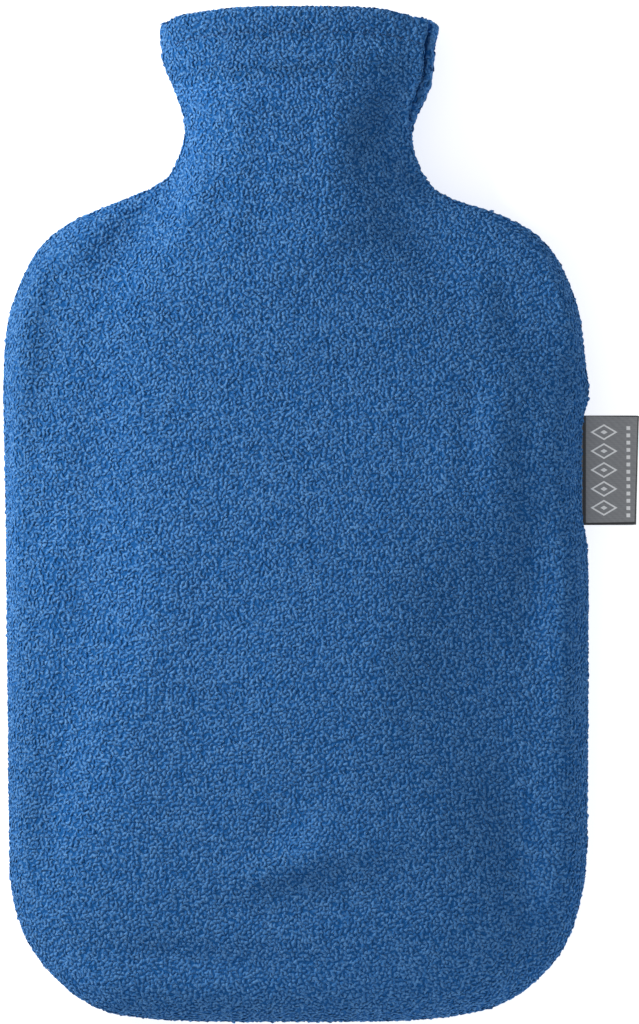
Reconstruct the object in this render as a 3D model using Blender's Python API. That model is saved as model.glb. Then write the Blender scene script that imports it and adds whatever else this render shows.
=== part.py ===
"""A fleece cover for a two-litre hot water bottle, lying on its back and holding its full shape.

It is cut and sewn as the real one is. A front and a back panel meet in a seam that runs down one
side, round the foot and up the other. Each panel's edge turns inwards there as a seam allowance.
At the mouth each panel folds in as a hem. A folded label is caught in the right-hand seam.

Metres. X runs across, Y from the foot to the mouth, and Z up from the surface that it lies on.
The origin is on that surface, halfway along the cover and in the middle of its foot.
"""

import math
from collections import namedtuple

import bmesh
import bpy
import numpy as np
from mathutils import Vector

# Driving dimensions
LENGTH = 0.350  # foot seam to rim, along Y
CLOTH = 0.0024  # fleece, pile included
GAP = 0.0003  # between pieces, and between the layers of a fold
ALLOWANCE = 0.0048  # cloth turned in past the seam's lip
SPRING = 0.0004  # how far the allowance's edge springs away from its fellow
SEAM_GAP = 0.00034  # between the two allowances
COLLAR_GAP = 0.0009  # the same where the right-hand seam turns
COLLAR_EASE = 0.015  # the length over which the one becomes the other
LIP = 0.0015  # radius of the cloth's middle where it turns into the seam
HEM_DEPTH = 0.012  # cloth turned in at the mouth
RIM_DROP = 0.0066  # how far the rim falls from its middle to its corners
RIM_POWER = 3.4  # above 2 keeps the rim's middle straight and rounds its corners

SPREAD = 0.018  # how far in from the seam the crown takes most of its height
ROUNDNESS = 0.5  # 0.5 gives an oval section, and less a boxier one
REST_BLEND = 0.0022  # height over which the back eases into its flat

LABEL_WIDTH = 0.0375  # along the seam
LABEL_REACH = 0.0203  # from the seam's lip to the label's fold
LABEL_CAUGHT = 0.0036  # its ends reach this far into the seam
LABEL_CLOTH = 0.001
LABEL_Y = 0.1896  # its middle, above the foot
LABEL_TUCK = 0.0020  # how far its stitching draws the seam in
LABEL_DROOP = 0.0016
LABEL_LEAN = 0.0009  # its lower corner reaches this much less than its upper one
LABEL_SLIP = 0.0005  # its under layer lies this far nearer the foot
LABEL_WAVE = 0.0004

SEAM_TURN = 0.0038  # how far the right-hand seam comes round to the front of the collar
TURN_FULL_Y = 0.332  # above this the seam is turned in full
TURN_END_Y = 0.300  # below this it runs along the side

# The silhouette, from the rim down to the foot's corners. y is above the foot.
Outline = namedtuple("Outline", "y left right")
OUTLINE = (
    Outline(0.3434, -0.0470, 0.0484),
    Outline(0.3340, -0.0467, 0.0474),
    Outline(0.3239, -0.0439, 0.0460),
    Outline(0.3140, -0.0402, 0.0423),
    Outline(0.3055, -0.0386, 0.0390),
    Outline(0.2965, -0.0410, 0.0412),
    Outline(0.2890, -0.0457, 0.0446),
    Outline(0.2836, -0.0586, 0.0516),
    Outline(0.2775, -0.0741, 0.0712),
    Outline(0.2695, -0.0860, 0.0846),
    Outline(0.2540, -0.0951, 0.0940),
    Outline(0.2310, -0.1006, 0.0992),
    Outline(0.1700, -0.1000, 0.1004),
    Outline(0.1107, -0.0994, 0.1004),
    Outline(0.0591, -0.0988, 0.0998),
    Outline(0.0402, -0.0970, 0.0974),
    Outline(0.0265, -0.0920, 0.0922),
    Outline(0.0146, -0.0822, 0.0822),
    Outline(0.0058, -0.0704, 0.0690),
    Outline(0.0023, -0.0612, 0.0575),
    Outline(0.0005, -0.0430, 0.0400),
)
FOOT = (-0.001, 0.0001)
CORNER_Y = 0.0146  # the row where the sides end and the foot begins

# How the cover stands off its seam along its length. Heights are at its middle.
Girth = namedtuple("Girth", "y seam front back")
GIRTH = (
    Girth(0.000, 0.0135, 0.0232, 0.0185),
    Girth(0.030, 0.0138, 0.0240, 0.0188),
    Girth(0.110, 0.0140, 0.0246, 0.0190),
    Girth(0.200, 0.0140, 0.0238, 0.0185),
    Girth(0.255, 0.0145, 0.0215, 0.0172),
    Girth(0.284, 0.0152, 0.0188, 0.0158),
    Girth(0.308, 0.0160, 0.0164, 0.0150),
    Girth(0.330, 0.0168, 0.0192, 0.0158),
    Girth(0.341, 0.0168, 0.0180, 0.0154),
    Girth(0.350, 0.0168, 0.0174, 0.0152),
)

# Soft troughs and ridges of the front, as its cloth lies. angle is from +X, in degrees.
Fold = namedtuple("Fold", "name x y angle length width height")
FRONT_FOLDS = (
    Fold("left shoulder hollow", -0.070, 0.2700, 40, 0.020, 0.013, -0.0026),
    Fold("left shoulder ridge", -0.046, 0.2765, 58, 0.022, 0.009, 0.0014),
    Fold("left neck trough", -0.027, 0.2800, 75, 0.022, 0.010, -0.0009),
    Fold("right shoulder trough", 0.047, 0.2715, 128, 0.024, 0.012, -0.0032),
    Fold("right shoulder knob", 0.061, 0.2545, 150, 0.012, 0.009, 0.0010),
    Fold("right corner knob", 0.082, 0.2585, 110, 0.010, 0.008, 0.0008),
    Fold("upper right ridge", 0.065, 0.1965, 94, 0.027, 0.011, 0.0012),
    Fold("right flank trough", 0.058, 0.1075, 100, 0.068, 0.015, -0.0024),
    Fold("right flank ridge", 0.084, 0.1370, 92, 0.034, 0.009, 0.0011),
    Fold("left flank swell", -0.066, 0.1370, 88, 0.040, 0.022, 0.0013),
    Fold("left waist dimple", -0.085, 0.1730, 30, 0.011, 0.008, -0.0010),
    Fold("left foot dimple", -0.086, 0.0730, 70, 0.014, 0.010, -0.0014),
    Fold("foot swell", 0.001, 0.0660, 10, 0.026, 0.011, 0.0012),
    Fold("foot trough", -0.002, 0.0480, 8, 0.032, 0.010, -0.0015),
)
BACK_FOLDS = (
    Fold("left shoulder hollow", -0.060, 0.2720, 60, 0.026, 0.016, 0.0020),
    Fold("right shoulder hollow", 0.058, 0.2730, 122, 0.026, 0.016, 0.0020),
)

# How finely the sheets are divided
Span = namedtuple("Span", "down_to steps")
LABEL_TOP, LABEL_BOTTOM = LABEL_Y + LABEL_WIDTH / 2, LABEL_Y - LABEL_WIDTH / 2
LABEL_CLEAR = 0.0008  # the seam stands fully open this far past the label's ends
LABEL_CLOSE = 0.0050  # and is shut again here
SIDE_SPANS = (
    Span(OUTLINE[0].y - HEM_DEPTH, 3),
    Span(0.3180, 3),
    Span(0.2775, 8),
    Span(LABEL_TOP + LABEL_CLOSE, 7),
    Span(LABEL_TOP + LABEL_CLEAR, 1),
    Span(LABEL_BOTTOM - LABEL_CLEAR, 3),
    Span(LABEL_BOTTOM - LABEL_CLOSE, 1),
    Span(CORNER_Y, 9),
)
HEM_ROWS = SIDE_SPANS[0].steps
SIDE_STEPS = sum(span.steps for span in SIDE_SPANS)
FOOT_STEPS = 14
RINGS = (0.0, 0.0003, 0.0012, 0.0034, 0.0074, 0.0132, 0.0205)  # inwards from the silhouette
LIP_ANGLES = (0, 30, 60, 90)
WALL_SHARES = (0.06, 0.15, 0.28, 0.46, 0.70)  # of the way from the lip to the innermost ring
HEM_COLUMN = 2 + len(LIP_ANGLES)  # the hem begins past the allowance, the lip and a wall point
BEND_PULL = 0.022  # metres of extra spacing weight for each radian that the outline turns
CURVE_STEPS = 24  # fine points between two rows of the outline
FOLD_ANGLES = (45, 90, 135, 180)
LABEL_ROWS, LABEL_COLUMNS = 7, 7  # across each layer

BLUE = (0.030, 0.115, 0.305, 1.0)
GREY = (0.180, 0.182, 0.190, 1.0)


def clear_scene():
    for old in list(bpy.data.objects):
        bpy.data.objects.remove(old, do_unlink=True)


def new_material(name, colour, roughness):
    made = bpy.data.materials.new(name)
    made.use_nodes = True
    shader = made.node_tree.nodes["Principled BSDF"]
    shader.inputs["Base Color"].default_value = colour
    shader.inputs["Roughness"].default_value = roughness
    made.diffuse_color = colour
    return made


def ease(value):
    """0 to 1 with level ends, for a value from 0 to 1."""
    value = min(1.0, max(0.0, value))
    return value * value * (3 - 2 * value)


# --- The plan: silhouette, rings along it, and the grid that they enclose ---


def curve_through(points):
    """A fine Catmull-Rom curve through the points."""
    padded = [2 * points[0] - points[1], *points, 2 * points[-1] - points[-2]]
    fine = []
    for before, start, end, after in zip(padded, padded[1:], padded[2:], padded[3:]):
        for t in np.linspace(0, 1, CURVE_STEPS, endpoint=False):
            bend = 2 * before - 5 * start + 4 * end - after
            swing = 3 * (start - end) + after - before
            fine.append(start + 0.5 * ((end - before) * t + bend * t**2 + swing * t**3))
    return np.array([*fine, points[-1]])


GIRTH_CURVE = curve_through([np.array(row) for row in GIRTH])


def label_pull(y):
    """1 along the label, 0 from a little way past its ends."""
    beyond = abs(y - LABEL_Y) - LABEL_WIDTH / 2
    return 1 - ease((beyond - LABEL_CLEAR) / (LABEL_CLOSE - LABEL_CLEAR))


def seam_turn(x, y):
    """How far round to the front the seam has come."""
    if x < 0:
        return 0.0
    return SEAM_TURN * ease((y - TURN_END_Y) / (TURN_FULL_Y - TURN_END_Y))


def rim_y(x):
    rim = OUTLINE[0]
    middle, half = (rim.left + rim.right) / 2, (rim.right - rim.left - CLOTH) / 2
    return LENGTH - RIM_DROP * abs((x - middle) / half) ** RIM_POWER


def at_marks(line, travelled, marks):
    """The line's points at these distances along it."""
    return np.column_stack([np.interp(marks, travelled, axis) for axis in line.T])


def distances(line):
    """How far along the line each of its points is."""
    return np.concatenate([[0], np.cumsum(np.hypot(*np.diff(line, axis=0).T))])


def side_marks(curve, travelled):
    """Distances along a side of the stations from the rim to the foot's corner."""
    marks = [travelled[0]]
    for span in SIDE_SPANS:
        below = int(np.argmax(curve[:, 1] <= span.down_to))
        pair = slice(below - 1, below + 1)
        end = np.interp(-span.down_to, -curve[pair, 1], travelled[pair])
        marks.extend(np.linspace(marks[-1], end, span.steps + 1)[1:])
    return marks


def seam_stations():
    """Points along the silhouette from the rim's left corner round to its right, with the
    normals there that point inwards. They are closer together where it bends."""
    left = [np.array((row.left, row.y)) for row in OUTLINE]
    right = [np.array((row.right, row.y)) for row in reversed(OUTLINE)]
    curve = curve_through([*left, np.array(FOOT), *right])
    for point in curve:
        point[0] -= LABEL_TUCK * label_pull(point[1]) if point[0] > 0 else 0.0
    moves = np.diff(curve, axis=0)
    turning = np.abs(np.gradient(np.unwrap(np.arctan2(moves[:, 1], moves[:, 0]))))
    travelled = np.concatenate([[0], np.cumsum(np.hypot(*moves.T) + BEND_PULL * turning)])
    along_left = side_marks(curve, travelled)
    along_right = travelled[-1] - np.array(side_marks(curve[::-1], travelled[-1] - travelled[::-1]))
    along_foot = np.linspace(along_left[-1], along_right[-1], FOOT_STEPS + 1)[1:-1]
    marks = [*along_left, *along_foot, *along_right[::-1]]
    stations = at_marks(curve, travelled, marks)
    along = at_marks(np.gradient(curve, axis=0), travelled, marks)
    normals = np.column_stack([-along[:, 1], along[:, 0]])
    for normal, (_, y) in zip(normals, stations):
        normal[1] *= ease((OUTLINE[0].y - y) / (2 * HEM_DEPTH))  # level at the rim
    return stations, normals / np.hypot(*normals.T)[:, None]


class Plan:
    """The points and quads of a panel laid flat, numbered so that the seam's own come first."""

    def __init__(self):
        outline, self.normals = seam_stations()
        self.stations = outline + self.normals * CLOTH / 2
        self.count = len(self.stations)
        self.points, self.quads = [], []
        self.rings = [[self.add(self.ring_point(s, depth)) for s in range(self.count)] for depth in RINGS]
        self.grid = self.fill()
        self.points = np.array(self.points)
        for outer, inner in zip(self.rings, self.rings[1:]):
            for s in range(self.count - 1):
                self.quads.append((outer[s], outer[s + 1], inner[s + 1], inner[s]))
        for upper, lower in zip(self.grid, self.grid[1:]):
            for c in range(FOOT_STEPS):
                self.quads.append((upper[c], lower[c], lower[c + 1], upper[c + 1]))

    def add(self, point):
        self.points.append(point)
        return len(self.points) - 1

    def ring_point(self, s, depth):
        """A point in from the silhouette, carried up to the rim's curve near the mouth."""
        start = self.stations[s]
        point = start + self.normals[s] * depth
        near_rim = 1 - ease((OUTLINE[0].y - start[1]) / (2 * HEM_DEPTH))
        point[1] += near_rim * (rim_y(point[0]) - rim_y(start[0]))
        return point

    def fill(self):
        """Rows of point numbers across the middle, blended from its four sides."""
        inner = self.rings[-1]
        left, right = inner[: SIDE_STEPS + 1], inner[: -SIDE_STEPS - 2 : -1]
        foot = inner[SIDE_STEPS : SIDE_STEPS + FOOT_STEPS + 1]
        foot_line = np.array([self.points[n] for n in foot])
        foot_share = distances(foot_line) / distances(foot_line)[-1]
        start, end = self.points[left[0]], self.points[right[0]]
        drop = [self.points[a][1] + self.points[b][1] for a, b in zip(left, right)]
        rows = []
        for r, (a, b) in enumerate(zip(left, right)):
            v = (drop[0] - drop[r]) / (drop[0] - drop[-1])
            row = [a]
            for c in range(1, FOOT_STEPS):
                u = (1 - v) * c / FOOT_STEPS + v * foot_share[c]
                top = start + (end - start) * u
                top[1] += rim_y(top[0]) - (1 - u) * rim_y(start[0]) - u * rim_y(end[0])
                low = np.array([np.interp(u, foot_share, axis) for axis in foot_line.T])
                sides = (1 - u) * self.points[a] + u * self.points[b]
                corners = (1 - v) * ((1 - u) * start + u * end)
                corners = corners + v * ((1 - u) * foot_line[0] + u * foot_line[-1])
                place = sides + (1 - v) * top + v * low - corners
                row.append(foot[c] if r == SIDE_STEPS else self.add(place))
            rows.append([*row, b])
        return rows


# --- The heights ---


def crown_share(plan):
    """How much of the full crown each point has: the shape of a film that is held down along the
    seam, free at the mouth, and pushed up evenly everywhere else."""
    size = len(plan.points)
    pull, area = np.zeros((size, size)), np.zeros(size)
    for quad in plan.quads:
        for triangle in ((quad[0], quad[1], quad[2]), (quad[0], quad[2], quad[3])):
            for turn in range(3):
                a, b, c = (triangle[(turn + step) % 3] for step in range(3))
                first, second = plan.points[b] - plan.points[a], plan.points[c] - plan.points[a]
                cross = abs(first[0] * second[1] - first[1] * second[0])
                spring = (first @ second) / cross / 2
                pull[[b, c], [b, c]] += spring
                pull[[b, c], [c, b]] -= spring
                area[a] += cross / 6
    lift = area / SPREAD**2
    system = pull + np.diag(lift)
    held = plan.rings[0]
    system[held] = 0
    system[held, held] = 1
    lift[held] = 0
    return np.clip(np.linalg.solve(system, lift), 0, 1) ** ROUNDNESS


def girth_at(y):
    """Height of the seam, and what the front and the back stand off it."""
    return [np.interp(y, GIRTH_CURVE[:, 0], column) for column in GIRTH_CURVE[:, 1:].T]


def fold_height(folds, x, y):
    total = 0.0
    for fold in folds:
        turn = math.radians(fold.angle)
        along = (x - fold.x) * math.cos(turn) + (y - fold.y) * math.sin(turn)
        aside = (y - fold.y) * math.cos(turn) - (x - fold.x) * math.sin(turn)
        total += fold.height * math.exp(-((along / fold.length) ** 2) - (aside / fold.width) ** 2)
    return total


def eased_to_rest(height):
    """Never below 0, and flat there, with a soft bend where the cloth lifts off."""
    if height <= -REST_BLEND:
        return 0.0
    if height >= REST_BLEND:
        return height
    return (height + REST_BLEND) ** 2 / (4 * REST_BLEND)


def front_height(share, x, y):
    seam, front, _ = girth_at(y)
    return seam + (front - CLOTH / 2) * share + fold_height(FRONT_FOLDS, x, y) * share**2


def back_height(share, x, y):
    seam, _, back = girth_at(y)
    lowest = seam - (back + CLOTH / 2) * share + fold_height(BACK_FOLDS, x, y) * share**2
    return CLOTH / 2 + eased_to_rest(lowest - CLOTH / 2)


# --- The panels ---


def section(front, back, turn, opening, side):
    """One side's section of the front or the back, from the allowance's edge to the last wall
    point, as (inwards, height) points. front and back run from the silhouette inwards. Where the
    seam is turned, the front stops short of the silhouette and the back comes round it."""
    line = np.array([*front[::-1], *back[1:]])
    far = distances(line)
    silhouette = len(front) - 1
    seam = np.interp(turn, line[silhouette::-1, 0], far[silhouette::-1])

    def point_at(distance):
        return np.array([np.interp(distance, far, axis) for axis in line.T])

    way = point_at(seam + CLOTH / 2) - point_at(seam - CLOTH / 2)
    way /= np.hypot(*way)
    inward, aside = np.array([-way[1], way[0]]), -side * way
    turned_in = point_at(seam) + aside * (opening + CLOTH / 2)
    points = [turned_in + inward * (LIP + ALLOWANCE) + aside * SPRING]
    for degrees in LIP_ANGLES:
        angle = math.radians(degrees)
        points.append(turned_in + inward * LIP * (1 - math.sin(angle)) + aside * LIP * (1 - math.cos(angle)))
    lip_end = opening + CLOTH / 2 + LIP
    room = (seam if side > 0 else far[-1] - seam) - lip_end
    for share in WALL_SHARES:
        points.append(point_at(seam - side * (lip_end + room * share)))
    return points


def seam_opening(x, y):
    """Half the gap between the two allowances. On the right they part for the label, and gape a
    little where the seam turns at the collar."""
    if x < 0:
        return SEAM_GAP / 2
    at_label = (LABEL_CLOTH + 2 * GAP - SEAM_GAP / 2) * label_pull(y)
    at_collar = (COLLAR_GAP - SEAM_GAP) / 2 * ease((y - TURN_END_Y) / COLLAR_EASE + 1)
    return SEAM_GAP / 2 + at_label + at_collar


def strip_columns(plan, share, side):
    """For each station, its points from the allowance's edge to the last wall point."""
    columns = []
    for s, ((x, y), normal) in enumerate(zip(plan.stations, plan.normals)):
        numbers = [ring[s] for ring in plan.rings]
        places = plan.points[numbers]
        front = [(depth, front_height(share[n], *plan.points[n])) for depth, n in zip(RINGS, numbers)]
        back = [(depth, back_height(share[n], *plan.points[n])) for depth, n in zip(RINGS, numbers)]
        column = []
        for inwards, height in section(front, back, seam_turn(x, y), seam_opening(x, y), side):
            place = [np.interp(inwards, RINGS, axis) for axis in places.T] + normal * min(inwards, 0)
            column.append(Vector((*place, height)))
        columns.append(column)
    return columns


def centred(point):
    return Vector((point[0], point[1] - LENGTH / 2, point[2]))


def new_object(name, shape, material, thickness):
    """An object of the sheet in this bmesh, thickened to both sides of it."""
    mesh = bpy.data.meshes.new(name)
    shape.to_mesh(mesh)
    shape.free()
    mesh.materials.append(material)
    mesh.shade_smooth()
    made = bpy.data.objects.new(name, mesh)
    bpy.context.scene.collection.objects.link(made)
    solidify = made.modifiers.new("cloth", "SOLIDIFY")
    solidify.thickness = thickness
    solidify.offset = 0
    solidify.use_even_offset = True
    solidify.use_quality_normals = True
    return made


def below_rim(x, y):
    """y, lowered near the mouth so that the hem's fold reaches the rim and no further."""
    fold_top = CLOTH + GAP / 2
    return y - fold_top * (1 - ease((rim_y(x) - y) / (2 * HEM_DEPTH)))


def join_rows(shape, rows):
    for row, following in zip(rows, rows[1:]):
        for c in range(len(row) - 1):
            shape.faces.new((row[c], row[c + 1], following[c + 1], following[c]))


def build_panel(name, plan, share, side, material):
    """One panel as a sheet with its allowance and hem. side is 1 for the front, -1 for the back."""
    height = front_height if side > 0 else back_height
    shape = bmesh.new()

    strips = strip_columns(plan, share, side)
    for column in strips:
        for point in column:
            point.y = below_rim(point.x, point.y)
    for column in (strips[0], strips[-1]):
        for point in column[:HEM_COLUMN]:
            point.y += CLOTH - GAP / 2  # the raw edges of the seam reach nearly to the rim
    strips = [[shape.verts.new(centred(point)) for point in column] for column in strips]

    grid = []
    for row in plan.grid:
        line = []
        for n in row:
            x, y = plan.points[n]
            line.append(shape.verts.new(centred((x, below_rim(x, y), height(share[n], x, y)))))
        grid.append(line)

    inner = [row[0] for row in grid] + grid[-1][1:-1] + [row[-1] for row in grid[::-1]]
    join_rows(shape, [*zip(*strips), inner])
    join_rows(shape, grid)
    middle = grid[len(grid) // 2][FOOT_STEPS // 2]
    face_outwards(shape, middle, side)
    add_hem(shape, strips, grid)
    face_outwards(shape, middle, side)
    return new_object(name, shape, material, CLOTH)


def face_outwards(shape, vert, side):
    """Turns every face the same way, so that this vertex looks up for 1 and down for -1."""
    bmesh.ops.recalc_face_normals(shape, faces=shape.faces)
    shape.normal_update()
    if vert.normal.z * side < 0:
        bmesh.ops.reverse_faces(shape, faces=shape.faces)
        shape.normal_update()


def add_hem(shape, strips, grid):
    """Folds the sheet in over the rim and down inside, a gap away from the wall, between the lips
    of the two side seams."""
    rows = []
    for r in range(HEM_ROWS + 1):
        rows.append([*strips[r][HEM_COLUMN:], *grid[r], *strips[-1 - r][: HEM_COLUMN - 1 : -1]])
    radius = (CLOTH + GAP) / 2
    folded = [rows[0]]
    for degrees in FOLD_ANGLES:
        turn = math.radians(degrees)
        line = []
        for rim, below in zip(rows[0], rows[1]):
            up = (rim.co - below.co).normalized()
            place = rim.co - rim.normal * radius * (1 - math.cos(turn)) + up * radius * math.sin(turn)
            line.append(shape.verts.new(place))
        folded.append(line)
    for row in rows[1:]:
        folded.append([shape.verts.new(vert.co - vert.normal * 2 * radius) for vert in row])
    join_rows(shape, folded)


# --- The label ---


def label_section(lip_x):
    """The folded strip from end to end, as (x, height) points."""
    radius = (LABEL_CLOTH + GAP) / 2
    fold_x = lip_x + LABEL_REACH - LABEL_CLOTH / 2 - radius
    layer = np.linspace(lip_x - LABEL_CAUGHT, fold_x, LABEL_COLUMNS)
    points = [(x, radius) for x in layer]
    for degrees in FOLD_ANGLES[:-1]:
        turn = math.radians(degrees)
        points.append((fold_x + radius * math.sin(turn), radius * math.cos(turn)))
    return points + [(x, -radius) for x in layer[::-1]], fold_x, radius


def build_label(plan, material):
    """A strip folded in two, with both of its ends in the seam and its fold outside."""
    lip_x = np.mean([x for x, y in plan.stations if x > 0 and abs(y - LABEL_Y) < LABEL_WIDTH / 2])
    free_from = lip_x + CLOTH / 2
    points, fold_x, radius = label_section(lip_x)
    seam_z = girth_at(LABEL_Y)[0]
    shape = bmesh.new()
    rows = []
    for share in np.linspace(0, 1, LABEL_ROWS):
        row = []
        for x, z in points:
            out = max(0.0, (x - free_from) / (fold_x - free_from))
            under = 0.5 - z / (2 * radius)
            bow = LABEL_WAVE * math.sin(1.5 * math.pi * share) * out - LABEL_DROOP * out**2
            across = x - LABEL_LEAN * (1 - share) * out
            along = LABEL_Y + (share - 0.5) * LABEL_WIDTH - LABEL_SLIP * under
            row.append(shape.verts.new(centred((across, along, seam_z + z + bow))))
        rows.append(row)
    join_rows(shape, rows)
    bmesh.ops.recalc_face_normals(shape, faces=shape.faces)
    return new_object("label", shape, material, LABEL_CLOTH)


def main():
    clear_scene()
    fleece = new_material("fleece", BLUE, roughness=0.95)
    woven = new_material("woven label", GREY, roughness=0.55)
    plan = Plan()
    share = crown_share(plan)
    build_panel("front_panel", plan, share, 1, fleece)
    build_panel("back_panel", plan, share, -1, fleece)
    build_label(plan, woven)


main()
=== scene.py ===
# A blue fleece cover for a hot water bottle, lying on its back on a plain pale floor.
# X runs across, Y from the foot to the mouth, Z up from the floor. In metres, unless a note says mm.

import math

import bmesh
import bpy
import numpy as np
from mathutils import Matrix, Vector
from mathutils.bvhtree import BVHTree


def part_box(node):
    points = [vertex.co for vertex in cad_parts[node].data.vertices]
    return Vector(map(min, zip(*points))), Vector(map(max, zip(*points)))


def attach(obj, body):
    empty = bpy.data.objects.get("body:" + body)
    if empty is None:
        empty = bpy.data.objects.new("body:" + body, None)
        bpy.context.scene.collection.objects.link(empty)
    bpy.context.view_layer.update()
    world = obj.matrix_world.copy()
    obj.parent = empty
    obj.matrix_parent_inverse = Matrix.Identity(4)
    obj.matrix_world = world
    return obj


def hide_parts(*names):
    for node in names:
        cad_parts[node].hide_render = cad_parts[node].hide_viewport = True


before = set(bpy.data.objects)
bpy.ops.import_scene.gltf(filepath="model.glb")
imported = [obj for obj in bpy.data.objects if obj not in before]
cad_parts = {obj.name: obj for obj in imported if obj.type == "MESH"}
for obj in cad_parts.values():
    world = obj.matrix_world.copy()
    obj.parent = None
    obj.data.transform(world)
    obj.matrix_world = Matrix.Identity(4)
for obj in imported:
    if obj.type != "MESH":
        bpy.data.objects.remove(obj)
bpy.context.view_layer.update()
bpy.ops.object.select_all(action="DESELECT")
print("frame loaded:", ", ".join(sorted(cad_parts)))

view = {
    "middle": (0.0079, 0.0),  # the point of the cover in the middle of the picture
    "height": 6.0,  # camera above the floor
    "pictureHeight": 0.35205,  # cloth seen from the top of the picture to its bottom
    "seamHeight": 0.0150,  # and the height at which that holds
    "sensor": 36,  # mm
    "nearest": 0.05,
    "farthest": 40,
}


def addCamera():
    camera = bpy.data.cameras.new("productCamera")
    camera.sensor_width = view["sensor"]
    camera.lens = view["sensor"] * (view["height"] - view["seamHeight"]) / view["pictureHeight"]
    camera.clip_start = view["nearest"]
    camera.clip_end = view["farthest"]
    held = bpy.data.objects.new("productCamera", camera)
    held.location = (*view["middle"], view["height"])
    bpy.context.scene.collection.objects.link(held)
    bpy.context.scene.camera = held


# place, size across, power in watts, colour
lamps = {
    "windowLight": ((-0.515, 0.196, 0.280), 0.27, 4.70, (1.0, 0.985, 0.965)),
    "edgeLight": ((0.30, -0.44, 0.13), 0.40, 0.55, (0.95, 0.97, 1.0)),
}
sky = {"Color": (0.95, 0.975, 1.0, 1), "Strength": 0.505}


def addLights():
    for name, (place, across, power, colour) in lamps.items():
        bpy.ops.object.light_add(type="AREA", location=place)
        lamp = bpy.context.object
        lamp.name = name
        lamp.data.shape = "DISK"
        lamp.data.size = across
        lamp.data.energy = power
        lamp.data.color = colour
        lamp.visible_camera = False
        lamp.rotation_euler = (-Vector(place)).to_track_quat("-Z", "Y").to_euler()
    world = bpy.data.worlds.new("studio")
    world.use_nodes = True
    for socket, value in sky.items():
        world.node_tree.nodes["Background"].inputs[socket].default_value = value
    bpy.context.scene.world = world
    bpy.context.scene.view_settings.view_transform = "Standard"


def selectOnly(piece):
    bpy.ops.object.select_all(action="DESELECT")
    piece.select_set(True)
    bpy.context.view_layer.objects.active = piece


def applyAll(piece):
    selectOnly(piece)
    for modifier in list(piece.modifiers):
        bpy.ops.object.modifier_apply(modifier=modifier.name)


def newPiece(name, mesh):
    piece = bpy.data.objects.new(name, mesh)
    bpy.context.scene.collection.objects.link(piece)
    return piece


def copyNode(node, name):
    piece = newPiece(name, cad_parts[node].data.copy())
    piece.data.name = name
    piece.data.materials.clear()
    return piece


merging = {
    "gap": 0.00002,
    "bent": math.radians(60),  # two triangles are joined unless they are bent against each other
    "skewed": math.radians(70),  # or make a more skewed face than this
}


def mergeTriangles(piece):
    # the solid's loose triangles become one closed mesh of four-sided faces, left in edit mode
    selectOnly(piece)
    bpy.ops.mesh.customdata_custom_splitnormals_clear()
    bpy.ops.object.mode_set(mode="EDIT")
    bpy.ops.mesh.select_all(action="SELECT")
    bpy.ops.mesh.remove_doubles(threshold=merging["gap"])
    bpy.ops.mesh.tris_convert_to_quads(face_threshold=merging["bent"], shape_threshold=merging["skewed"])


def roundOff(piece, levels):
    rounding = piece.modifiers.new("rounding", "SUBSURF")
    rounding.levels = levels
    rounding.render_levels = levels
    applyAll(piece)


def skinOf(meshes):
    # the faces of these meshes, to be hit by rays
    made = bmesh.new()
    for mesh in meshes:
        made.from_mesh(mesh)
    skin = BVHTree.FromBMesh(made)
    made.free()
    return skin


def reportPiece(piece):
    piece.data.calc_loop_triangles()
    print(piece.name, len(piece.data.loop_triangles), "triangles")


def addNode(tree, kind, inputs, **settings):
    # what feeds each input is a value or another node's socket
    node = tree.nodes.new(kind)
    for name, value in settings.items():
        setattr(node, name, value)
    for name, value in inputs.items():
        if isinstance(value, bpy.types.NodeSocket):
            tree.links.new(value, node.inputs[name])
        else:
            node.inputs[name].default_value = value
    return node


def addMath(tree, operation, *values):
    return addNode(tree, "ShaderNodeMath", dict(enumerate(values)), operation=operation).outputs[0]


def addNoise(tree, place, scale, detail):
    inputs = {"Vector": place, "Scale": scale, "Detail": detail}
    return addNode(tree, "ShaderNodeTexNoise", inputs).outputs["Fac"]


def addWave(tree, place, scale, direction, **inputs):
    wave = addNode(tree, "ShaderNodeTexWave", {"Vector": place, "Scale": scale, **inputs},
                   wave_type="BANDS", bands_direction=direction)
    return wave.outputs["Fac"]


def readAttribute(tree, name):
    return addNode(tree, "ShaderNodeAttribute", {}, attribute_name=name).outputs["Fac"]


def objectPlace(tree):
    return tree.nodes.new("ShaderNodeTexCoord").outputs["Object"]


def newGroup(name, inputs, outputs):
    group = bpy.data.node_groups.new(name, "ShaderNodeTree")
    for label, kind in inputs.items():
        group.interface.new_socket(label, in_out="INPUT", socket_type="NodeSocket" + kind)
    for label, kind in outputs.items():
        group.interface.new_socket(label, in_out="OUTPUT", socket_type="NodeSocket" + kind)
    return group, group.nodes.new("NodeGroupInput"), group.nodes.new("NodeGroupOutput")


def newMaterial(name, finish):
    # what is the same all over is set on the shader's own sockets
    made = bpy.data.materials.new(name)
    made.use_nodes = True
    shader = made.node_tree.nodes["Principled BSDF"]
    for socket, value in finish.items():
        shader.inputs[socket].default_value = value
    return made, made.node_tree, shader


paper = {
    "size": 6.0,
    "below": 0.0001,  # just under what rests on it
    "finish": {
        "Base Color": (0.88, 0.88, 0.885, 1),
        "Roughness": 0.9,
        "Emission Color": (0.88, 0.88, 0.885, 1),  # it glows a little, as a light table does
        "Emission Strength": 0.76,
    },
}


def addFloor():
    bpy.ops.mesh.primitive_plane_add(size=paper["size"], location=(0, 0, -paper["below"]))
    floor = bpy.context.object
    floor.name = "paleFloor"
    floor.data.materials.append(newMaterial("palePaper", paper["finish"])[0])
    return floor


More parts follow.
